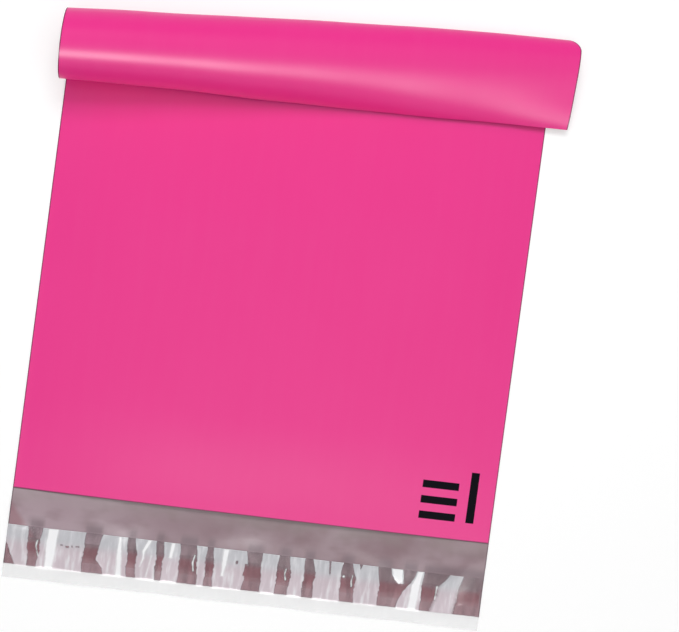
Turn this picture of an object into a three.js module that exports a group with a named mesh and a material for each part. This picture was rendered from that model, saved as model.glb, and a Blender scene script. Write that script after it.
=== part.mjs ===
// A poly mailer bag of co-extruded film, drawn in millimetres with +Z up.
// One web of film is folded at the closed end and welded along both sides, which makes a flat pocket.
// The back wall runs on past the pocket's mouth as a single-ply lip. The lip carries a strip of
// adhesive, and a release liner covers the adhesive and hangs over the lip's free edge.
// The bag lies on its back wall with the mouth towards -Y. Its closed end has curled over towards the
// mouth in a loose roll, which is a nearly closed scroll at the left and a folded flap at the right.
// The origin is on the table, at the middle of the bag's footprint.

import * as THREE from "three";
import { mergeVertices } from "three/addons/utils/BufferGeometryUtils.js";

// Film and pocket
const BAG_WIDTH = 304.8;
const POCKET_LENGTH = 393.7;
const LIP_LENGTH = 48;
const FILM_THICKNESS = 0.0635;
const SIDE_WELD_WIDTH = 2;
const END_CREASE_WIDTH = 2;

// Air between the two walls of the empty pocket: its height at the mouth, inside and in the roll, the
// lengths over which it changes, and how square it is across the bag
const MOUTH_GAP = 6.2;
const POCKET_GAP = 6.8;
const ROLL_GAP = 0.4;
const MOUTH_GAP_LENGTH = 60;
const FALLING_GAP_LENGTH = 72;
const GAP_TO_ROLL = 14;
const GAP_SQUARENESS = 2.6;
const END_GAP_SHARE = 0.25;

// Closed end's roll at three places across the bag: the length of film in it, the degrees that it
// turns, and how many times its mean curvature is added where it starts, to be missing further on
const ROLL_LEFT = { length: 117.4, turn: 314, tightStart: 0 };
const ROLL_MIDDLE = { length: 88.3, turn: 264.5, tightStart: 1.35 };
const ROLL_RIGHT = { length: 72.7, turn: 217, tightStart: 3 };

// How far the roll's ends spread past the bag's sides, and the share of the roll in which they do
const SPREAD_LEFT = 2;
const SPREAD_RIGHT = 13;
const SPREAD_SHARE = 0.3;

// Adhesive strip and its release liner
const ADHESIVE_WIDTH = 12;
const ADHESIVE_THICKNESS = 0.05;
const ADHESIVE_EDGE_INSET = 6;
const ADHESIVE_SIDE_INSET = 1.5;
const LINER_WIDTH = 33.5;
const LINER_THICKNESS = 0.05;
const LINER_OVERHANG = 8.5;

// Facets
const COLUMNS = 16;
const LIP_ROWS = 2;
const POCKET_ROWS = 12;
const ROLL_ROWS = 22;
const ARC_STEPS = 8;
const MERGE_DISTANCE = 0.002;

const HALF_WIDTH = BAG_WIDTH / 2;
const POCKET_HALF_WIDTH = HALF_WIDTH - SIDE_WELD_WIDTH;

const mix = (a, b, t) => a + (b - a) * t;
const smooth = (t) => THREE.MathUtils.smoothstep(t, 0, 1);
const shareAcross = (x) => (x + HALF_WIDTH) / BAG_WIDTH;

// A smooth course across the bag through what it is at the left, in the middle and at the right
function blendAcross(left, middle, right, x) {
  const t = shareAcross(x);
  return left * (1 - t) * (1 - 2 * t) + middle * 4 * t * (1 - t) + right * t * (2 * t - 1);
}

// The roll as it is at one place across the bag
function rollAt(x) {
  const blend = (size) => blendAcross(ROLL_LEFT[size], ROLL_MIDDLE[size], ROLL_RIGHT[size], x);
  const length = blend("length");
  return {
    length,
    turn: THREE.MathUtils.degToRad(blend("turn")),
    tightStart: blend("tightStart"),
    start: POCKET_LENGTH - length,
  };
}

// Heading of the film at a share of the way round the roll: 0 is towards +Y, a quarter turn is up
const headingAt = (roll, share) => roll.turn * (share + roll.tightStart * share * (1 - share) ** 2);

// A point of the back wall's outer face and the direction through the film, at x and at a distance
// along the film from the mouth
function filmFrame(x, distance) {
  const roll = rollAt(x);
  const rolled = distance - roll.start;
  if (rolled <= 0) {
    return { point: new THREE.Vector3(x, distance, 0), through: new THREE.Vector3(0, 0, 1) };
  }
  const share = rolled / roll.length;
  const steps = Math.max(1, Math.ceil(ROLL_ROWS * ARC_STEPS * share));
  const step = rolled / steps;
  let y = roll.start;
  let z = 0;
  for (let k = 0; k < steps; k++) {
    const heading = headingAt(roll, ((k + 0.5) * share) / steps);
    y += step * Math.cos(heading);
    z += step * Math.sin(heading);
  }
  const heading = headingAt(roll, share);
  const spread = mix(-SPREAD_LEFT, SPREAD_RIGHT, shareAcross(x)) * smooth(share / SPREAD_SHARE);
  return {
    point: new THREE.Vector3(x + spread, y, z),
    through: new THREE.Vector3(0, -Math.sin(heading), Math.cos(heading)),
  };
}

// Air between the walls, which is nothing at the side welds and at the closed end
function gapAt(x, distance) {
  const roll = rollAt(x);
  const mouthToInside = mix(MOUTH_GAP, POCKET_GAP, smooth(distance / MOUTH_GAP_LENGTH));
  const beforeRoll = smooth((roll.start - GAP_TO_ROLL - distance) / FALLING_GAP_LENGTH);
  const toClosedEnd = (POCKET_LENGTH - END_CREASE_WIDTH - distance) / (END_GAP_SHARE * roll.length);
  const offCentre = Math.min(1, Math.abs(x) / POCKET_HALF_WIDTH);
  return (
    mix(ROLL_GAP, mouthToInside, beforeRoll) *
    THREE.MathUtils.clamp(toClosedEnd, 0, 1) *
    (1 - offCentre ** GAP_SQUARENESS)
  );
}

// Depths through the bag, from the back wall's outer face: each is a function of x and distance
const backOuter = () => 0;
const backInner = () => FILM_THICKNESS;
const frontInner = (x, distance) => FILM_THICKNESS + gapAt(x, distance);
const frontOuter = (x, distance) => 2 * FILM_THICKNESS + gapAt(x, distance);

function filmPoint(x, distance, depth) {
  const { point, through } = filmFrame(x, distance);
  return point.addScaledVector(through, depth(x, distance));
}

const evenly = (from, to, count) => Array.from({ length: count + 1 }, (_, k) => mix(from, to, k / count));

// Places across the bag, with the pocket's side edges among them
const pocketColumns = evenly(-POCKET_HALF_WIDTH, POCKET_HALF_WIDTH, COLUMNS);
const allColumns = [-HALF_WIDTH, ...pocketColumns, HALF_WIDTH];

// Rows across the bag, each of which gives its distance along the film from the mouth at x
const lipEdgeRow = () => -LIP_LENGTH;
const mouthRow = () => 0;
const closedEndRow = () => POCKET_LENGTH;
const lipRows = evenly(-LIP_LENGTH, 0, LIP_ROWS).map((distance) => () => distance);
const flatRows = evenly(0, 1, POCKET_ROWS).map((share) => (x) => share * rollAt(x).start);
const rollRows = evenly(0, 1, ROLL_ROWS).map((share) => (x) => {
  const roll = rollAt(x);
  return roll.start + share * (roll.length - END_CREASE_WIDTH);
});
const pocketRows = [...flatRows, ...rollRows.slice(1)];
const frontRows = [...pocketRows, closedEndRow];
const backRows = [...lipRows, ...frontRows.slice(1)];

// Adds two triangles for each four points between rows. Seen from outside, a row runs to the right and
// the next one lies above it, unless the sheet is turned over.
function addSheet(triangles, rows, turned = false) {
  for (let j = 0; j + 1 < rows.length; j++) {
    for (let i = 0; i + 1 < rows[j].length; i++) {
      const [a, b, c, d] = [rows[j][i], rows[j][i + 1], rows[j + 1][i + 1], rows[j + 1][i]];
      triangles.push(...(turned ? [a, c, b, a, d, c] : [a, b, c, a, c, d]));
    }
  }
}

// The whole film as one closed surface: outside skins, inside skins and the cut edges between them
function filmGeometry() {
  const triangles = [];
  const skin = (rows, columns, depth) =>
    rows.map((row) => columns.map((x) => filmPoint(x, row(x), depth)));
  const crossEdge = (row, low, high) =>
    [low, high].map((depth) => allColumns.map((x) => filmPoint(x, row(x), depth)));
  const sideEdge = (rows, x, low, high) =>
    [low, high].map((depth) => rows.map((row) => filmPoint(x, row(x), depth)));

  addSheet(triangles, skin(backRows, allColumns, backOuter), true);
  addSheet(triangles, skin(lipRows, allColumns, backInner));
  addSheet(triangles, skin(frontRows, allColumns, frontOuter));
  addSheet(triangles, skin(pocketRows, pocketColumns, backInner));
  addSheet(triangles, skin(pocketRows, pocketColumns, frontInner), true);

  addSheet(triangles, crossEdge(lipEdgeRow, backOuter, backInner));
  addSheet(triangles, crossEdge(mouthRow, frontInner, frontOuter));
  addSheet(triangles, crossEdge(closedEndRow, backOuter, backInner), true);
  addSheet(triangles, crossEdge(closedEndRow, frontInner, frontOuter), true);
  for (const [x, turned] of [[-HALF_WIDTH, true], [HALF_WIDTH, false]]) {
    addSheet(triangles, sideEdge(backRows, x, backOuter, backInner), turned);
    addSheet(triangles, sideEdge(frontRows, x, frontInner, frontOuter), turned);
  }
  const geometry = mergeVertices(new THREE.BufferGeometry().setFromPoints(triangles), MERGE_DISTANCE);
  geometry.computeVertexNormals();
  return geometry;
}

// A flat strip across the bag, from y on towards the closed end, lying at height z
function stripMesh(name, size, y, z, material) {
  const mesh = new THREE.Mesh(new THREE.BoxGeometry(size.x, size.y, size.z), material);
  mesh.name = name;
  mesh.position.set(0, y + size.y / 2, z + size.z / 2);
  return mesh;
}

const filmMaterial = new THREE.MeshStandardMaterial({ color: 0xeb4591, roughness: 0.34, metalness: 0 });
const adhesiveMaterial = new THREE.MeshStandardMaterial({ color: 0x8c6f75, roughness: 0.2, metalness: 0 });
const linerMaterial = new THREE.MeshStandardMaterial({ color: 0xe9e8ea, roughness: 0.25, metalness: 0 });

const filmBag = new THREE.Mesh(filmGeometry(), filmMaterial);
filmBag.name = "film_bag";

const adhesiveStrip = stripMesh(
  "adhesive_strip",
  new THREE.Vector3(BAG_WIDTH - 2 * ADHESIVE_SIDE_INSET, ADHESIVE_WIDTH, ADHESIVE_THICKNESS),
  -LIP_LENGTH + ADHESIVE_EDGE_INSET,
  FILM_THICKNESS,
  adhesiveMaterial,
);

const releaseLiner = stripMesh(
  "release_liner",
  new THREE.Vector3(BAG_WIDTH, LINER_WIDTH, LINER_THICKNESS),
  -LIP_LENGTH - LINER_OVERHANG,
  FILM_THICKNESS + ADHESIVE_THICKNESS,
  linerMaterial,
);

const bag = new THREE.Group();
bag.add(filmBag, adhesiveStrip, releaseLiner);

// Puts the origin at the middle of the footprint
const footprint = new THREE.Box3().setFromObject(bag, true).getCenter(new THREE.Vector3());
bag.position.set(-footprint.x, -footprint.y, 0);

export default bag;
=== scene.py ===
# The looks of a poly mailer bag: its glossy film, the mauve ply inside, the adhesive strip and the
# clear release liner. Lengths are in millimetres from the middle of the pocket's mouth, with x across
# the bag and d along the film towards its closed end. Only what Blender is given is in metres: meshes,
# the film_place attribute, textures, the floor and the lamps.
import math

import bpy
import numpy as np
from mathutils import Matrix, Vector


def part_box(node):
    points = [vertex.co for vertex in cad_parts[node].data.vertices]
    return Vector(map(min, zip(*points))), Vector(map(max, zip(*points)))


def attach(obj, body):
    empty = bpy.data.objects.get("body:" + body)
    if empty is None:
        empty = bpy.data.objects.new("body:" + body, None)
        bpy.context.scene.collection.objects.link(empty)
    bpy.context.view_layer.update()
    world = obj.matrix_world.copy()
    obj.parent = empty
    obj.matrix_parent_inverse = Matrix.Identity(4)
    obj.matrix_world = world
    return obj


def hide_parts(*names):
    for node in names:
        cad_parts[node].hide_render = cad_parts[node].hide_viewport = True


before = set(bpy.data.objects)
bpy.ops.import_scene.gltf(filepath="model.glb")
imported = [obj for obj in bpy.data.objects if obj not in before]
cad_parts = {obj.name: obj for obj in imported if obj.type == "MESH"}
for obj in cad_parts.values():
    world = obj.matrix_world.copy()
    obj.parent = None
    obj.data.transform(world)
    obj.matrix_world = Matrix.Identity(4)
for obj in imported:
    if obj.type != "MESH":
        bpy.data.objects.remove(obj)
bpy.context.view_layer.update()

MM_PER_METRE = 1000

# Film and pocket, as in the part's source
BAG_WIDTH = 304.8
POCKET_LENGTH = 393.7
LIP_LENGTH = 48.0
FILM_THICKNESS = 0.0635
SIDE_WELD_WIDTH = 2.0
END_CREASE_WIDTH = 2.0
HALF_WIDTH = BAG_WIDTH / 2
POCKET_HALF_WIDTH = HALF_WIDTH - SIDE_WELD_WIDTH
LIP_EDGE = -LIP_LENGTH

# Air between the walls, which is less than in the part's source, as the film lies nearly flat
MOUTH_GAP = 3.2
POCKET_GAP = 5.0
ROLL_GAP = 0.4
MOUTH_GAP_LENGTH = 60.0
FALLING_GAP_LENGTH = 72.0
GAP_TO_ROLL = 52.0
GAP_SQUARENESS = 2.6
END_GAP_SHARE = 0.25

# The closed end's roll at the left, in the middle and at the right: the length of film in it, the
# degrees that it turns, and how much tighter it starts than it goes on
ROLL_LENGTH = (117.4, 88.3, 72.7)
ROLL_TURN = (314.0, 264.5, 217.0)
ROLL_TIGHT_START = (0.0, 1.35, 3.0)

# How far the roll's ends spread past the bag's sides, and the share of the roll in which they do
SPREAD_LEFT = 2.0
SPREAD_RIGHT = 13.0
SPREAD_SHARE = 0.3

# Adhesive strip and release liner
ADHESIVE_WIDTH = 12.0
ADHESIVE_THICKNESS = 0.05
ADHESIVE_FILL = 0.9
ADHESIVE_EDGE_INSET = 6.0
ADHESIVE_SIDE_INSET = 1.5
LINER_WIDTH = 33.5
LINER_THICKNESS = 0.05
LINER_OVERHANG = 8.5
ADHESIVE_BOTTOM = LIP_EDGE + ADHESIVE_EDGE_INSET
ADHESIVE_TOP = ADHESIVE_BOTTOM + ADHESIVE_WIDTH
LINER_BOTTOM = LIP_EDGE - LINER_OVERHANG
LINER_TOP = LINER_BOTTOM + LINER_WIDTH

# Fineness of the meshes
FILM_COLUMNS = 140
WELD_COLUMNS = 3
LIP_ROWS = 22
FLAT_ROWS = 60
ROLL_ROWS = 72
LINER_STEP = 0.5
ADHESIVE_STEP = 1.2
COURSE_STEPS = 24
JOINED_PLACES_PER_MM = 1e4
SMOOTH_ANGLE = 40

# Waves of the rolled film and of the lip: height, the millimetres in x and in d for each radian, and
# where they start. They grow over a length from the roll's start and from the mouth.
ROLL_WAVES = [
    (0.16, 17.0, 60.0, 0.6),
    (0.10, 9.3, -34.0, 2.0),
    (0.12, 41.0, 21.0, 4.1),
]
ROLL_WAVE_GROWTH = 30.0
LIP_WAVES = [
    (0.36, 12.7, 16.0, 0.4),
    (0.16, 5.9, -11.0, 1.9),
    (0.05, 2.7, 6.0, 3.2),
]
LIP_WAVE_GROWTH = 16.0

# Soft folds of the lip: two ends in x and d, height and half width. They fade over a share of
# their length at each end.
LIP_FOLDS = [
    ((128.0, -33.0), (151.0, -3.0), 0.7, 6.0),
    ((-152.0, -6.0), (-139.0, -26.0), 0.55, 5.5),
    ((-110.0, -4.0), (-70.0, -22.0), 0.6, 7.0),
    ((-40.0, -20.0), (20.0, -6.0), 0.5, 7.0),
    ((60.0, -3.0), (92.0, -24.0), 0.5, 6.5),
]
FOLD_FADE_SHARE = 0.3

# The ends of the places on the liner that reach from its upper edge to past the lip's edge
UPPER = LINER_TOP + 0.2
LOWER = LIP_EDGE - 0.2

# Places where the liner has come away from the adhesive: rows of d and the left and right ends in x
LIFTED = [
    [(UPPER, -152.5, -140.0), (-32.5, -152.5, -139.0), (-40.0, -149.5, -138.5),
     (LOWER, -145.5, -138.0)],
    [(UPPER, -130.5, -103.5), (-33.0, -131.0, -104.0), (LOWER, -132.0, -104.0)],
    [(UPPER, -92.5, -77.5), (-33.0, -95.0, -76.5), (-39.5, -95.0, -76.5), (-44.0, -91.0, -76.0),
     (LOWER, -90.5, -75.5)],
    [(UPPER, -72.0, -59.0), (-33.0, -70.5, -58.5), (LOWER, -70.0, -58.0)],
    [(UPPER, -54.0, -44.0), (-33.0, -53.5, -43.5), (LOWER, -54.0, -43.5)],
    [(UPPER, -33.5, -27.0), (-34.0, -32.0, -27.0), (LOWER, -31.0, -26.5)],
    [(UPPER, -22.5, -2.0), (-32.0, -21.5, 0.0), (-38.0, -21.5, -1.5), (LOWER, -21.0, -2.5)],
    [(UPPER, 8.5, 19.0), (-35.0, 9.0, 18.5), (LOWER, 9.5, 19.0)],
    [(UPPER, 26.0, 36.0), (-32.0, 28.0, 36.0), (LOWER, 27.0, 36.0)],
    [(UPPER, 41.5, 60.5), (-32.5, 43.5, 59.5), (LOWER, 43.0, 60.5)],
    [(UPPER, 67.0, 83.0), (-32.0, 69.5, 85.0), (LOWER, 69.5, 85.0)],
    [(UPPER, 92.0, 99.5), (-27.0, 93.0, 100.0), (-30.0, 95.0, 100.0), (-32.0, 97.5, 100.5)],
    [(UPPER, 109.0, 113.0), (-32.0, 105.0, 112.5), (-38.0, 100.0, 112.5), (LOWER, 97.5, 113.0)],
]

# A lifted place with soft sides, in the same form
SOFTLY_LIFTED = [
    [(UPPER, 131.0, 138.0), (-31.0, 125.0, 136.0), (LOWER, 120.0, 134.0)],
]

# Ridges of the lifted places, which also carry painted white highlights, in the same form
STREAKS = [
    [(UPPER, -127.0, -120.5), (-33.0, -127.5, -121.0), (LOWER, -127.0, -122.0)],
    [(UPPER, -83.0, -81.0), (-34.5, -83.0, -80.0), (LOWER, -82.5, -78.5)],
    [(UPPER, -64.5, -61.5), (-30.5, -67.5, -65.5), (-35.0, -67.0, -65.5), (-40.5, -68.0, -67.5)],
    [(-32.5, -61.5, -61.0), (-46.5, -63.5, -63.0)],
    [(UPPER, -49.5, -47.0), (-32.5, -50.5, -48.0)],
    [(UPPER, -16.5, -12.5), (-40.5, -16.5, -14.5)],
    [(UPPER, 92.0, 99.5), (-27.0, 93.5, 99.5), (-30.0, 95.5, 100.0), (-31.5, 97.5, 100.0)],
    [(UPPER, 109.5, 112.5), (-32.0, 106.0, 111.5), (LOWER, 105.0, 110.5)],
    [(-31.0, 122.0, 123.0), (-40.0, 121.5, 122.5)],
    [(-29.0, -34.5, -33.5), (-34.0, -35.5, -34.5), (-39.5, -34.5, -33.5)],
    [(-31.0, 24.0, 25.0), (-34.5, 23.5, 24.5), (-38.5, 24.5, 25.5)],
    [(-30.5, 67.0, 68.0), (-34.5, 66.5, 67.5), (-38.0, 67.0, 68.0)],
    [(-31.0, -133.5, -132.5), (-35.0, -134.0, -133.0), (-41.0, -132.0, -131.0)],
    [(-31.0, 61.0, 62.5), (-32.5, 61.0, 62.5)],
]

# Dark places inside the lifted ones, where the liner touches the adhesive again
TOUCHING = [
    [(UPPER, 51.0, 53.0), (-32.0, 52.5, 53.0)],
    [(UPPER, 71.0, 73.5), (-26.5, 72.0, 72.0)],
    [(-29.5, -8.0, -6.0), (-32.0, -8.0, -6.5)],
    [(-31.0, -2.0, 0.0), (-39.0, -2.5, -0.5)],
    [(-32.0, -119.0, -117.0), (-33.0, -118.5, -116.5)],
    [(-32.5, -116.0, -113.0), (-34.0, -115.0, -112.5)],
    [(-32.0, -112.0, -111.0), (-33.5, -111.5, -110.5)],
    [(-32.0, -109.0, -107.0), (-33.0, -109.0, -106.5)],
]

# Widths over which these places end, how much steeper their upper and lower ends are, and how high
# the liner stands in them
CONTACT_BLUR = 0.9
SOFT_CONTACT_BLUR = 4.5
STREAK_BLUR = 1.3
BLISTER_BLUR = 3.5
RIDGE_BLUR = 2.5
END_STEEPNESS = 1.5
BLISTER_HEIGHT = 0.24
RIDGE_HEIGHT = 0.12

# Plain bars in place of the print: left, right, lower d and upper d
PRINT_BARS = [
    (135.0, 140.5, 11.5, 44.5),
    (104.0, 128.0, 11.5, 16.5),
    (104.0, 128.0, 21.5, 26.5),
    (104.0, 128.0, 31.5, 36.5),
]
PRINT_BLUR = 0.15

# The crease beyond which the lip's left corner is painted darker and redder, as shade: a place on it and
# the direction away from the bag
CORNER_CREASE = (-152.0, -8.0)
CORNER_OUTWARDS = (-0.777, -0.631)

# Colours, written as rrggbb
WHITE = "ffffff"
PINK = "ee2e8c"
PINK_CLOUD = "f03390"
PINK_STREAK = "ef4a98"
# Darker cut sides, and the painted shadow line along the mouth
PINK_EDGE_AND_SHADOW = "7a2350"
INK = "0c0a12"
INK_GLOSS = "4a4a4a"
# Lighter at the left as a painted sheen
MAUVE_SHEEN_LEFT = "a58e97"
MAUVE_RIGHT = "886d74"
MAUVE_CLOUD = "b09da4"
MAUVE_DRIFT = "7c6268"
# Greyer tint near the mouth: painted shade of the front wall on the lip
MAUVE_MOUTH_SHADE = "9d9290"
# Painted shade on the lip's left corner beyond the crease
MAUVE_CORNER_SHADE = "8e5f69"
MAUVE_LIP_EDGE = "9a747c"
# Painted shade on the lip above the liner's held places
MAUVE_HELD_SHADE = "735f67"
# Darker cut sides, and the painted shadow line along the mouth
MAUVE_EDGE_AND_SHADOW = "5f4a52"
ADHESIVE_TONE = "7d4b54"
ADHESIVE_CLOUD = "965f68"
ADHESIVE_UPPER = "8b737a"
ADHESIVE_LOWER = "99737a"
MILK = "d2d2d8"
MILK_CLOUD = "e6e6eb"
MILK_ON_ADHESIVE = "e0d1d9"
MILK_LINE = "f4f4f7"
MILK_OVERHANG = "fbfbfc"
CLEAR_LINER_TONE = "5a484f"
# Painted highlight along the liner's ridges
STREAK_HIGHLIGHT_WHITE = "fdfdff"

# The camera stands where the photograph was taken from. Its roll is in degrees.
CAMERA_PLACE = (-52.15, 153.05, 949.42)
CAMERA_AIM = (36.89, 133.03, 0.0)
CAMERA_ROLL = 7.646
CAMERA_LENS = 79.48
CAMERA_SENSOR = 36.0

# The floor, in metres, and how bright floor and surroundings are, as lit and as seen
FLOOR_HALF_SIZE = 3.0
FLOOR_DEPTH = 0.0002
FLOOR_GREY = 0.66
FLOOR_GLOW_SEEN = 0.42
SURROUNDINGS_LIGHT = 0.34
SURROUNDINGS_SEEN = 1.0

liner_low, liner_high = (MM_PER_METRE * np.array(list(corner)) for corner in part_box("release_liner"))
MOUTH_PLACE = np.array([(liner_low[0] + liner_high[0]) / 2, liner_low[1] - LINER_BOTTOM, 0.0])


def mix(a, b, t):
    return a + (b - a) * t


def smooth(t):
    t = np.clip(t, 0, 1)
    return t * t * (3 - 2 * t)


def rise(value, start, end):
    """Goes smoothly from 0 at the start to 1 at the end, which may be the lower value."""
    return smooth((value - start) / (end - start))


def linear(hex_colour):
    """A colour written as rrggbb, in linear light and with an alpha of 1."""
    parts = [int(hex_colour[k:k + 2], 16) / 255 for k in (0, 2, 4)]
    return tuple(p / 12.92 if p <= 0.04045 else ((p + 0.055) / 1.055) ** 2.4 for p in parts) + (1.0,)


# Form of the film

def share_across(x):
    return (x + HALF_WIDTH) / BAG_WIDTH


def blend_across(sizes, x):
    """A smooth course across the bag through a size at the left, in the middle and at the right."""
    left, middle, right = sizes
    t = share_across(x)
    return left * (1 - t) * (1 - 2 * t) + middle * 4 * t * (1 - t) + right * t * (2 * t - 1)


def roll_start(x):
    return POCKET_LENGTH - blend_across(ROLL_LENGTH, x)


def film_frame(x, d):
    """Points of the back wall's outer face and the directions through the film."""
    length = blend_across(ROLL_LENGTH, x)
    turn = np.radians(blend_across(ROLL_TURN, x))
    tight_start = blend_across(ROLL_TIGHT_START, x)
    rolled = np.maximum(d - roll_start(x), 0)
    share = rolled / length

    def heading(part):
        return turn * (part + tight_start * part * (1 - part) ** 2)

    y = np.minimum(d, roll_start(x))
    z = np.zeros_like(y)
    places, weights = np.polynomial.legendre.leggauss(COURSE_STEPS)
    for part, weight in zip((places + 1) / 2, weights / 2):
        y = y + weight * rolled * np.cos(heading(part * share))
        z = z + weight * rolled * np.sin(heading(part * share))
    spread = mix(-SPREAD_LEFT, SPREAD_RIGHT, share_across(x)) * smooth(share / SPREAD_SHARE)
    end = heading(share)
    point = np.stack([x + spread, y, z], axis=-1)
    through = np.stack([np.zeros_like(y), -np.sin(end), np.cos(end)], axis=-1)
    return point, through


def gap_at(x, d):
    """Air between the walls, which is nothing at the side welds and at the closed end."""
    mouth_to_inside = mix(MOUTH_GAP, POCKET_GAP, smooth(d / MOUTH_GAP_LENGTH))
    before_roll = smooth((roll_start(x) - GAP_TO_ROLL - d) / FALLING_GAP_LENGTH)
    falling_length = END_GAP_SHARE * blend_across(ROLL_LENGTH, x)
    to_closed_end = (POCKET_LENGTH - END_CREASE_WIDTH - d) / falling_length
    off_centre = np.minimum(1, np.abs(x) / POCKET_HALF_WIDTH)
    return (
        mix(ROLL_GAP, mouth_to_inside, before_roll)
        * np.clip(to_closed_end, 0, 1)
        * (1 - off_centre ** GAP_SQUARENESS)
    )


def wave_sum(waves, x, d, middle=0.0):
    """Waves about a middle, which is given as a share of each wave's height."""
    return sum(
        height * (middle + np.sin(x / across + d / along + start))
        for height, across, along, start in waves
    )


def roll_ripple(x, d):
    """Soft unevenness of the rolled film, shared by both walls."""
    return smooth((d - roll_start(x)) / ROLL_WAVE_GROWTH) * wave_sum(ROLL_WAVES, x, d)


def lip_lift(x, d):
    """Height of the lip's soft waves and folds over the table."""
    lift = wave_sum(LIP_WAVES, x, d, middle=1)
    for (x0, d0), (x1, d1), height, half_width in LIP_FOLDS:
        length = math.hypot(x1 - x0, d1 - d0)
        along = ((x - x0) * (x1 - x0) + (d - d0) * (d1 - d0)) / length
        beside = ((x - x0) * (d1 - d0) - (d - d0) * (x1 - x0)) / length
        fade = FOLD_FADE_SHARE * length
        ends = smooth(along / fade) * smooth((length - along) / fade)
        lift = lift + height * ends * np.exp(-(beside / half_width) ** 2)
    return smooth(-d / LIP_WAVE_GROWTH) * lift


def back_outer(x, d):
    return lip_lift(x, d) + roll_ripple(x, d)


def back_inner(x, d):
    return back_outer(x, d) + FILM_THICKNESS


def front_inner(x, d):
    return back_inner(x, d) + gap_at(x, d)


def front_outer(x, d):
    return front_inner(x, d) + FILM_THICKNESS


# Meshes

def new_object(name, points, quads, place):
    """An object of quads whose coincident points are joined, with each point's x and d on the film."""
    keys = np.round(points * JOINED_PLACES_PER_MM).astype(np.int64)
    _, first, inverse = np.unique(keys, axis=0, return_index=True, return_inverse=True)
    quads = inverse.reshape(-1)[quads]
    mesh = bpy.data.meshes.new(name)
    mesh.from_pydata(((points[first] + MOUTH_PLACE) / MM_PER_METRE).tolist(), [], quads.tolist())
    flat_place = np.c_[place[first] / MM_PER_METRE, np.zeros(len(first))]
    store(mesh, "film_place", "FLOAT_VECTOR", flat_place)
    mesh.shade_smooth()
    mesh.set_sharp_from_angle(angle=math.radians(SMOOTH_ANGLE))
    piece = bpy.data.objects.new(name, mesh)
    bpy.context.scene.collection.objects.link(piece)
    return piece


def store(mesh, name, kind, values):
    """Keeps a value for each point of a mesh under a name that materials can read."""
    layer = mesh.attributes.new(name, kind, "POINT")
    field = "vector" if kind == "FLOAT_VECTOR" else "value"
    layer.data.foreach_set(field, np.asarray(values, dtype=np.float32).ravel())


class Sheets:
    """Collects grids of points as quads. A row runs to the right and the next one lies above it."""

    OUTSIDE = 0
    INSIDE = 1

    def __init__(self):
        self.points, self.place, self.quads, self.skin = [], [], [], []
        self.count = 0

    def add_grid(self, x, d, height, turned=False, skin=OUTSIDE):
        """A grid of points at heights over the back wall's outer face, which may face down."""
        point, through = film_frame(x, d)
        self.points.append((point + through * height[..., None]).reshape(-1, 3))
        self.place.append(np.stack([x, d], axis=-1).reshape(-1, 2))
        rows, columns = x.shape
        corner = self.count + np.arange(rows * columns).reshape(rows, columns)
        low, high = corner[:-1], corner[1:]
        quads = np.stack([low[:, :-1], low[:, 1:], high[:, 1:], high[:, :-1]], axis=-1).reshape(-1, 4)
        self.quads.append(quads[:, [0, 3, 2, 1]] if turned else quads)
        self.skin.append(np.full(len(quads), skin))
        self.count += rows * columns

    def add_skin(self, grid, depth, turned=False, skin=OUTSIDE):
        x, d = grid
        self.add_grid(x, d, depth(x, d), turned, skin)

    def add_edge(self, x, d, low, high, turned=False):
        """The cut edge along a line of points, between two depths."""
        height = np.stack([low(x, d), high(x, d)])
        self.add_grid(np.tile(x, (2, 1)), np.tile(d, (2, 1)), height, turned)

    def build(self, name):
        points, place = np.concatenate(self.points), np.concatenate(self.place)
        piece = new_object(name, points, np.concatenate(self.quads), place)
        piece.data.polygons.foreach_set("material_index", np.concatenate(self.skin).astype(np.int32))
        return piece


def film_grid(columns, lip=False, wall=True, closed_end=True):
    """The x and d of points over some columns, on the lip, on the wall with its roll or on both."""
    start = roll_start(columns)
    parts = []
    if lip:
        share = np.linspace(0, 1, LIP_ROWS + 1)[:, None]
        parts.append(np.tile(LIP_EDGE * (1 - share), (1, len(columns))))
    if wall:
        flat = np.linspace(0, 1, FLAT_ROWS + 1)[:, None] * start
        rolled_length = blend_across(ROLL_LENGTH, columns) - END_CREASE_WIDTH
        rolled = start + np.linspace(0, 1, ROLL_ROWS + 1)[:, None] * rolled_length
        parts += [flat[1:] if lip else flat, rolled[1:]]
    if closed_end:
        parts.append(np.full((1, len(columns)), POCKET_LENGTH))
    d = np.concatenate(parts)
    return np.tile(columns, (len(d), 1)), d


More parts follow.
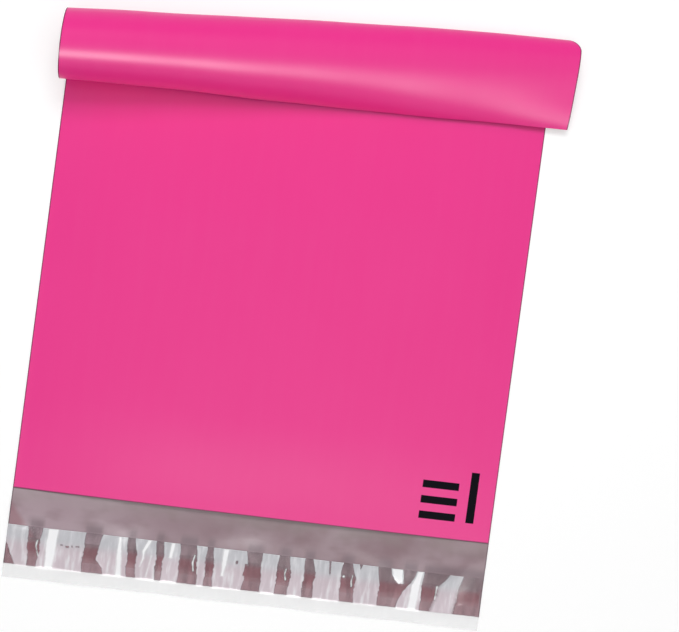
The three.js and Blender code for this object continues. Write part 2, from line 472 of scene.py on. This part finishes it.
def film_piece():
    """The whole film as one closed surface, with its glossy outside and its inside as two skins."""
    pocket = np.linspace(-POCKET_HALF_WIDTH, POCKET_HALF_WIDTH, FILM_COLUMNS + 1)
    weld = np.linspace(POCKET_HALF_WIDTH, HALF_WIDTH, WELD_COLUMNS + 1)[1:]
    across = np.concatenate([-weld[::-1], pocket, weld])
    lip_only = film_grid(across, lip=True, wall=False, closed_end=False)
    pocket_only = film_grid(pocket, closed_end=False)

    sheets = Sheets()
    sheets.add_skin(film_grid(across, lip=True), back_outer, turned=True)
    sheets.add_skin(lip_only, back_inner, skin=Sheets.INSIDE)
    sheets.add_skin(film_grid(across), front_outer)
    sheets.add_skin(pocket_only, back_inner, skin=Sheets.INSIDE)
    sheets.add_skin(pocket_only, front_inner, turned=True, skin=Sheets.INSIDE)

    for distance, low, high, turned in (
        (LIP_EDGE, back_outer, back_inner, False),
        (0.0, front_inner, front_outer, False),
        (POCKET_LENGTH, back_outer, back_inner, True),
        (POCKET_LENGTH, front_inner, front_outer, True),
    ):
        sheets.add_edge(across, np.full_like(across, distance), low, high, turned)
    for side, turned in ((-HALF_WIDTH, True), (HALF_WIDTH, False)):
        for lip, low, high in ((True, back_outer, back_inner), (False, front_inner, front_outer)):
            x, d = film_grid(np.array([side]), lip=lip)
            sheets.add_edge(x.ravel(), d.ravel(), low, high, turned)
    return sheets.build("mailer_film")


def strip_piece(name, x, d, low, high):
    """A thin closed sheet over a grid of x and d between two heights."""
    x, d = np.meshgrid(x, d)
    sheets = Sheets()
    sheets.add_skin((x, d), high)
    sheets.add_skin((x, d), low, turned=True)
    for row, turned in ((0, False), (-1, True)):
        sheets.add_edge(x[row], d[row], low, high, turned)
    for column, turned in ((0, True), (-1, False)):
        sheets.add_edge(x[:, column], d[:, column], low, high, turned)
    return sheets.build(name)


def steps(low, high, step):
    return np.linspace(low, high, int(round((high - low) / step)) + 1)


# The liner's lifted places

def wobble(x, d):
    """Unevenness of an edge of contact, in millimetres, which is strongest on the adhesive."""
    top_end = rise(d, ADHESIVE_TOP + 1, ADHESIVE_TOP - 1)
    bottom_end = rise(d, ADHESIVE_BOTTOM - 1, ADHESIVE_BOTTOM + 1)
    change = np.sin(0.47 * d + 0.13 * x) * np.sin(0.23 * x + 1.3)
    coarse = 0.3 * np.sin(0.42 * d + 0.27 * x)
    fine = 0.24 * np.sin(1.3 * d + 0.31 * x + 2 * change)
    finest = 0.1 * np.sin(2.9 * d + 0.43 * x + 3 * change)
    return coarse + (fine + finest) * mix(0.15, 1, top_end * bottom_end)


def inside(places, x, d, blur, uneven=1.0):
    """How far each point is inside one of the places, from 0 to 1."""
    most = np.zeros_like(x)
    for rows in places:
        levels, lefts, rights = (np.array(row) for row in zip(*rows[::-1]))
        left = np.interp(d, levels, lefts)
        right = np.interp(d, levels, rights)
        reach = np.minimum(x - left, right - x) + uneven * wobble(x, d)
        ends = END_STEEPNESS * np.minimum(d - levels[0], levels[-1] - d)
        most = np.maximum(most, smooth(np.minimum(reach, ends) / blur + 0.5))
    return most


def lifted_at(x, d):
    """How far the liner is off the adhesive at each point, from 0 to 1."""
    touching = inside(TOUCHING, x, d, CONTACT_BLUR, uneven=0.5)
    on_lip = inside(LIFTED, x, d, CONTACT_BLUR) * (1 - touching)
    softly = inside(SOFTLY_LIFTED, x, d, SOFT_CONTACT_BLUR)
    overhang = rise(d, LIP_EDGE + 0.3, LIP_EDGE - 0.3)
    return np.maximum.reduce([on_lip, softly, overhang])


def held_shade_at(x, d):
    """How much painted shade darkens the lip beside the liner's upper edge where the liner is held, from
    0 to 1.
    """
    beside_liner = rise(d, LINER_TOP - 2, LINER_TOP + 1) * rise(d, LINER_TOP + 8, LINER_TOP + 2)
    liner_edge = np.full_like(d, LINER_TOP - 1.5)
    return beside_liner * (1 - inside(LIFTED, x, liner_edge, BLISTER_BLUR))


def adhesive_under(x, d):
    return lip_lift(x, d) + FILM_THICKNESS


def adhesive_over(x, d):
    return adhesive_under(x, d) + ADHESIVE_FILL * ADHESIVE_THICKNESS


def liner_under(x, d):
    blister = BLISTER_HEIGHT * inside(LIFTED, x, d, BLISTER_BLUR, uneven=0.3)
    ridge = RIDGE_HEIGHT * inside(STREAKS, x, d, RIDGE_BLUR, uneven=0.3)
    return adhesive_under(x, d) + ADHESIVE_THICKNESS + blister + ridge


def liner_over(x, d):
    return liner_under(x, d) + LINER_THICKNESS


# Shader nodes

def plug(tree, value, socket):
    """Links a node's output to a socket, or sets a number, a vector or a colour on it."""
    if isinstance(value, bpy.types.NodeSocket):
        tree.links.new(value, socket)
    else:
        socket.default_value = linear(value) if isinstance(value, str) else value


def add_node(tree, kind, inputs=None, **fields):
    node = tree.nodes.new("ShaderNode" + kind)
    for field, value in fields.items():
        setattr(node, field, value)
    for socket, value in (inputs or {}).items():
        plug(tree, value, node.inputs[socket])
    return node


class Shader:
    """A material on one Principled shader, with short ways to add nodes."""

    def __init__(self, name, **settings):
        self.material = bpy.data.materials.new(name)
        self.material.use_nodes = True
        self.tree = self.material.node_tree
        self.shader = self.tree.nodes["Principled BSDF"]
        for socket, value in settings.items():
            self.set(socket.replace("_", " "), value)

    def set(self, socket, value):
        plug(self.tree, value, self.shader.inputs[socket])

    def node(self, kind, inputs, **fields):
        return add_node(self.tree, kind, inputs, **fields)

    def math(self, operation, a, b=0.0, c=0.0):
        return self.node("Math", {0: a, 1: b, 2: c}, operation=operation).outputs[0]

    def plus(self, a, b):
        return self.math("ADD", a, b)

    def minus(self, a, b):
        return self.math("SUBTRACT", a, b)

    def times(self, a, b):
        return self.math("MULTIPLY", a, b)

    def scaled(self, value, factor, added):
        return self.math("MULTIPLY_ADD", value, factor, added)

    def most(self, a, b):
        return self.math("MAXIMUM", a, b)

    def size_of(self, value):
        return self.math("ABSOLUTE", value)

    def beyond(self, value, low, high):
        """How far a value is outside a range in millimetres, which is negative inside it."""
        middle, half = (low + high) / 2, (high - low) / 2
        return self.minus(self.size_of(self.minus(value, middle / MM_PER_METRE)), half / MM_PER_METRE)

    def ramp(self, value, low, high, to_low=0.0, to_high=1.0):
        """Goes smoothly from one value at low to another at high, which may be the lower one."""
        inputs = {"Value": value, "From Min": low, "From Max": high, "To Min": to_low, "To Max": to_high}
        return self.node("MapRange", inputs, interpolation_type="SMOOTHSTEP").outputs[0]

    def ramp_mm(self, value, low, high, to_low=0.0, to_high=1.0):
        """A ramp of a length between two ends that are given in millimetres."""
        return self.ramp(value, low / MM_PER_METRE, high / MM_PER_METRE, to_low, to_high)

    def tint(self, tone, colour, share):
        """A tone with a share of another colour mixed in. The node's sockets 6 and 7 take colours."""
        return self.node("Mix", {0: share, 6: tone, 7: colour}, data_type="RGBA").outputs[2]

    def attribute(self, name, output="Fac"):
        return self.node("Attribute", None, attribute_name=name).outputs[output]

    def noise(self, vector, scale, detail=2.0, roughness=0.5):
        inputs = {"Vector": vector, "Scale": scale, "Detail": detail, "Roughness": roughness}
        return self.node("TexNoise", inputs).outputs[0]

    def stretched(self, vector, along_film):
        """A place whose noise is stretched along the film where the scale there is below 1."""
        return self.node("Mapping", {"Vector": vector, "Scale": (1.0, along_film, 1.0)}).outputs[0]

    def split(self, vector):
        return self.node("SeparateXYZ", {"Vector": vector}).outputs

    def bump(self, height, strength, distance):
        inputs = {"Height": height, "Strength": strength, "Distance": distance}
        self.set("Normal", self.node("Bump", inputs).outputs[0])


# Materials

def print_mask(made, x, d):
    """1 on the plain bars that stand in place of the print."""
    ink = 0.0
    for left, right, low, high in PRINT_BARS:
        outside = made.most(made.beyond(x, left, right), made.beyond(d, low, high))
        ink = made.most(ink, made.ramp_mm(outside, 0.0, -PRINT_BLUR))
    return ink


def dark_edges_and_mouth_shadow(made, x, d):
    """The hot-cut sides, which look darker than the film, and the mouth's edge, darkened as a painted
    shadow line where the front wall lies over the lip.
    """
    side = made.ramp_mm(made.size_of(x), HALF_WIDTH - 0.9, HALF_WIDTH - 0.25)
    # A painted shadow line along the mouth's edge
    mouth = made.ramp_mm(made.size_of(d), 0.8, 0.2)
    return made.most(side, mouth)


def film_outside():
    """Glossy pink ply, with darker cut sides, a painted shadow line along the mouth and the print's bars
    in ink of little gloss.
    """
    made = Shader("film_outside", Specular_IOR_Level=0.25)
    place = made.attribute("film_place", "Vector")
    x, d, _ = made.split(place)
    cloud = made.noise(place, 14.0, detail=3.0)
    streaks = made.noise(made.stretched(place, 0.06), 160.0)
    tone = made.tint(PINK, PINK_CLOUD, cloud)
    tone = made.tint(tone, PINK_STREAK, made.ramp(streaks, 0.3, 0.9, 0.0, 0.1))
    # Darker cut sides and a painted shadow line at the mouth
    tone = made.tint(tone, PINK_EDGE_AND_SHADOW, dark_edges_and_mouth_shadow(made, x, d))
    ink = print_mask(made, x, d)
    made.set("Base Color", made.tint(tone, INK, ink))
    made.set("Specular Tint", made.tint(WHITE, INK_GLOSS, ink))
    made.set("Roughness", made.scaled(cloud, factor=0.06, added=0.31))
    made.bump(made.noise(place, 900.0, detail=3.0, roughness=0.6), strength=0.1, distance=0.0003)
    return made.material


def film_inside():
    """Mauve-grey ply, which shows on the lip and inside the pocket."""
    made = Shader("film_inside", Specular_IOR_Level=0.3)
    place = made.attribute("film_place", "Vector")
    x, d, _ = made.split(place)
    cloud = made.noise(place, 26.0, detail=3.0)
    drift = made.noise(made.stretched(place, 1.8), 46.0)
    # Lighter towards the left: a painted sheen
    tone = made.tint(MAUVE_SHEEN_LEFT, MAUVE_RIGHT, made.ramp_mm(x, -150, 30))
    tone = made.tint(tone, MAUVE_CLOUD, made.ramp(cloud, 0.4, 0.7, 0.0, 0.45))
    tone = made.tint(tone, MAUVE_DRIFT, made.ramp(drift, 0.45, 0.75, 0.0, 0.5))
    # Greyer near the mouth: painted shade of the front wall on the lip
    mouth_shade_share = made.times(made.ramp_mm(d, -14, -1), made.ramp(drift, 0.3, 0.7, 0.1, 0.45))
    tone = made.tint(tone, MAUVE_MOUTH_SHADE, mouth_shade_share)
    # Beyond the crease the lip's left corner is painted darker and redder, as shade
    to_crease = [
        made.times(made.minus(value, at / MM_PER_METRE), share)
        for value, at, share in zip((x, d), CORNER_CREASE, CORNER_OUTWARDS)
    ]
    tone = made.tint(tone, MAUVE_CORNER_SHADE, made.ramp_mm(made.plus(*to_crease), -1.5, 3, 0.0, 0.75))
    tone = made.tint(tone, MAUVE_LIP_EDGE, made.ramp_mm(d, -36, -44, 0.0, 0.7))
    # Painted shade on the lip above the liner's held places
    tone = made.tint(tone, MAUVE_HELD_SHADE, made.times(made.attribute("held"), 0.8))
    # Darker cut sides and a painted shadow line at the mouth
    tone = made.tint(tone, MAUVE_EDGE_AND_SHADOW, dark_edges_and_mouth_shadow(made, x, d))
    made.set("Base Color", tone)
    made.set("Roughness", made.scaled(cloud, factor=0.1, added=0.28))
    made.bump(made.noise(place, 700.0, detail=3.0, roughness=0.6), strength=0.15, distance=0.0003)
    return made.material


def adhesive_finish():
    """Clear hot-melt adhesive over the inside ply, thinner towards its edges."""
    made = Shader("adhesive_gloss", Specular_IOR_Level=0.45, Roughness=0.14)
    place = made.attribute("film_place", "Vector")
    _, d, _ = made.split(place)
    cloud = made.noise(made.stretched(place, 0.4), 120.0, detail=4.0, roughness=0.6)
    tone = made.tint(ADHESIVE_TONE, ADHESIVE_CLOUD, cloud)
    tone = made.tint(tone, ADHESIVE_UPPER, made.ramp_mm(d, ADHESIVE_TOP - 4.5, ADHESIVE_TOP))
    tone = made.tint(tone, ADHESIVE_LOWER, made.ramp_mm(d, ADHESIVE_BOTTOM + 5, ADHESIVE_BOTTOM))
    made.set("Base Color", tone)
    made.bump(made.noise(place, 260.0, detail=3.0, roughness=0.6), strength=0.3, distance=0.0006)
    return made.material


def liner_tone(made, d, milk_share, highlight_streak, overhang, lines, cloud):
    """Milky white with paler lines, or the dark of clear film on the adhesive, with painted white
    highlights along the ridges.
    """
    milk = made.tint(MILK, MILK_CLOUD, cloud)
    milk = made.tint(milk, MILK_ON_ADHESIVE, made.ramp_mm(d, -29, -37))
    milk = made.tint(milk, MILK_LINE, made.ramp(lines, 0.48, 0.72, 0.0, 0.7))
    milk = made.tint(milk, MILK_OVERHANG, overhang)
    tone = made.tint(CLEAR_LINER_TONE, milk, milk_share)
    # Painted white highlights along the ridges
    return made.tint(tone, STREAK_HIGHLIGHT_WHITE, highlight_streak)


def liner_cover(made, d, lifted, highlight_streak, overhang, lines):
    """How much the liner hides of what is under it, more where painted highlights lie along its ridges,
    its upper edge and the lip's edge.
    """
    held = made.minus(1.0, lifted)
    clear = made.times(held, made.scaled(made.ramp_mm(d, -42, -24), factor=0.08, added=0.03))
    milky = made.times(lifted, made.ramp_mm(d, -42, -28, 0.76, 0.64))
    milky = made.times(milky, made.ramp(overhang, 0.0, 1.0, 1.0, 0.4))
    rim = made.times(made.times(lifted, held), 0.5)
    # Painted highlights: thin bright lines along the liner's upper edge and along the lip's edge
    top_edge_highlight = made.ramp_mm(d, LINER_TOP - 0.6, LINER_TOP - 0.15)
    off_lip_edge = made.size_of(made.minus(d, (LIP_EDGE - 0.3) / MM_PER_METRE))
    lip_edge_highlight = made.times(made.ramp_mm(off_lip_edge, 0.6, 0.2), 0.3)
    painted_edge_highlight = made.times(made.most(top_edge_highlight, lip_edge_highlight), made.times(lifted, 0.25))
    cover = made.plus(made.plus(clear, milky), made.plus(rim, painted_edge_highlight))
    grain = made.times(made.minus(lines, 0.5), made.ramp(overhang, 0.0, 1.0, 0.36, 0.03))
    # The painted ridge highlights are made nearly opaque
    cover = made.most(made.plus(cover, grain), made.times(highlight_streak, 0.93))
    return made.math("MINIMUM", cover, 0.97)


def liner_finish():
    """Clear film, milky where it has come away from the adhesive."""
    made = Shader("liner_film", Specular_IOR_Level=0.45)
    place = made.attribute("film_place", "Vector")
    _, d, _ = made.split(place)
    lifted = made.attribute("lifted")
    # Painted highlights along the ridges
    highlight_streak = made.attribute("highlight_streak")
    overhang = made.ramp_mm(d, LIP_EDGE + 0.2, LIP_EDGE - 0.2)
    lines = made.noise(made.stretched(place, 0.2), 300.0, detail=3.0)
    cloud = made.noise(place, 120.0, detail=3.0)
    milk_share = made.ramp(lifted, 0.0, 0.35)
    made.set("Base Color", liner_tone(made, d, milk_share, highlight_streak, overhang, lines, cloud))
    made.set("Alpha", liner_cover(made, d, lifted, highlight_streak, overhang, lines))
    made.set("Roughness", made.ramp(lifted, 0.0, 1.0, 0.12, 0.25))
    made.bump(made.noise(made.stretched(place, 0.3), 300.0, detail=3.0), strength=0.2, distance=0.0005)
    return made.material


# Pieces

def finish(piece, slot, *materials):
    for material in materials:
        piece.data.materials.append(material)
    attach(piece, "root")


def film_places(piece):
    """The x and d of a piece's points, in millimetres."""
    place = np.empty(len(piece.data.vertices) * 3, dtype=np.float32)
    piece.data.attributes["film_place"].data.foreach_get("vector", place)
    return (place.reshape(-1, 3)[:, :2] * MM_PER_METRE).T.astype(float)


def add_film():
    piece = film_piece()
    # The held attribute carries painted shade on the lip above the liner's held places
    store(piece.data, "held", "FLOAT", held_shade_at(*film_places(piece)))
    finish(piece, "film", film_outside(), film_inside())
    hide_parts("film_bag")


def add_adhesive():
    half = HALF_WIDTH - ADHESIVE_SIDE_INSET
    x = steps(-half, half, ADHESIVE_STEP)
    d = steps(ADHESIVE_BOTTOM, ADHESIVE_TOP, ADHESIVE_STEP)
    piece = strip_piece("adhesive_band", x, d, adhesive_under, adhesive_over)
    finish(piece, "adhesive", adhesive_finish())
    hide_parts("adhesive_strip")


def add_liner():
    x = steps(-HALF_WIDTH, HALF_WIDTH, LINER_STEP)
    d = steps(LINER_BOTTOM, LINER_TOP, LINER_STEP)
    piece = strip_piece("liner_sheet", x, d, liner_under, liner_over)
    x, d = film_places(piece)
    store(piece.data, "lifted", "FLOAT", lifted_at(x, d))
    # Painted white highlights along the ridges
    store(piece.data, "highlight_streak", "FLOAT", inside(STREAKS, x, d, STREAK_BLUR, uneven=0.35))
    finish(piece, "liner", liner_finish())
    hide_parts("release_liner")


# Floor, light and camera

def seen_mask(tree):
    """1 for rays from the camera, from a reflection and through clear film."""
    rays = add_node(tree, "LightPath").outputs
    mask = rays["Is Camera Ray"]
    for name in ("Is Glossy Ray", "Is Transmission Ray"):
        mask = add_node(tree, "Math", {0: mask, 1: rays[name]}, operation="MAXIMUM").outputs[0]
    return mask


def add_floor():
    """Pale paper, which glows a little where it is seen, so that it looks white."""
    mesh = bpy.data.meshes.new("floor")
    signs = ((-1, -1), (1, -1), (1, 1), (-1, 1))
    corners = [(x * FLOOR_HALF_SIZE, y * FLOOR_HALF_SIZE, -FLOOR_DEPTH) for x, y in signs]
    mesh.from_pydata(corners, [], [(0, 1, 2, 3)])
    floor = bpy.data.objects.new("floor", mesh)
    bpy.context.scene.collection.objects.link(floor)
    made = Shader("floor_paper", Roughness=0.9, Specular_IOR_Level=0.1, Emission_Color=WHITE)
    made.set("Base Color", (FLOOR_GREY, FLOOR_GREY, FLOOR_GREY, 1))
    made.set("Emission Strength", made.times(seen_mask(made.tree), FLOOR_GLOW_SEEN))
    mesh.materials.append(made.material)


def add_world():
    world = bpy.data.worlds.new("studio")
    world.use_nodes = True
    tree = world.node_tree
    background = tree.nodes["Background"]
    range_ends = {"To Min": SURROUNDINGS_LIGHT, "To Max": SURROUNDINGS_SEEN}
    strength = add_node(tree, "MapRange", {"Value": seen_mask(tree), **range_ends}).outputs[0]
    plug(tree, WHITE, background.inputs["Color"])
    plug(tree, strength, background.inputs["Strength"])
    bpy.context.scene.world = world


def add_softbox(name, place, target, size, watts, lights_surfaces=True, seen_in_gloss=True):
    """A lamp that faces a target. It can leave surfaces unlit or be missing from reflections."""
    lamp = bpy.data.lights.new(name, "AREA")
    lamp.shape = "RECTANGLE"
    lamp.size, lamp.size_y = size
    lamp.energy = watts
    softbox = bpy.data.objects.new(name, lamp)
    softbox.location = place
    softbox.rotation_euler = (Vector(target) - Vector(place)).to_track_quat("-Z", "Y").to_euler()
    softbox.visible_diffuse = lights_surfaces
    softbox.visible_glossy = seen_in_gloss
    bpy.context.scene.collection.objects.link(softbox)


def add_camera():
    camera = bpy.data.objects.new("camera", bpy.data.cameras.new("camera"))
    camera.data.lens = CAMERA_LENS
    camera.data.sensor_width = CAMERA_SENSOR
    camera.data.sensor_fit = "HORIZONTAL"
    back = (Vector(CAMERA_PLACE) - Vector(CAMERA_AIM)).normalized()
    level_right = Vector((0, 1, 0)).cross(back).normalized()
    right = Matrix.Rotation(math.radians(CAMERA_ROLL), 3, back) @ level_right
    turn = Matrix((right, back.cross(right), back)).transposed().to_4x4()
    place = (MOUTH_PLACE + CAMERA_PLACE) / MM_PER_METRE
    camera.matrix_world = Matrix.Translation(place) @ turn
    bpy.context.scene.collection.objects.link(camera)
    bpy.context.scene.camera = camera


add_film()
add_adhesive()
add_liner()
add_floor()
add_world()
add_softbox("overhead", (0.05, 0.05, 1.4), (0.05, 0.05, 0.0), (1.6, 1.6), 6.3)
add_softbox("back", (-0.1, 0.93, 1.3), (-0.05, 0.1, 0.0), (0.7, 0.55), 10.0, seen_in_gloss=False)
add_softbox("front", (0.0, -1.7, 0.45), (0.0, 0.1, 0.0), (1.2, 0.4), 5.0, seen_in_gloss=False)
add_softbox("strip", (0.03, -1.0, 1.3), (0.0, 0.15, 0.03), (0.8, 0.5), 36.0, lights_surfaces=False)
add_softbox("side_strip", (0.74, -0.7, 1.2), (0.1, 0.15, 0.03), (0.3, 0.7), 5.5, lights_surfaces=False)
add_camera()
bpy.context.scene.view_settings.view_transform = "Standard"
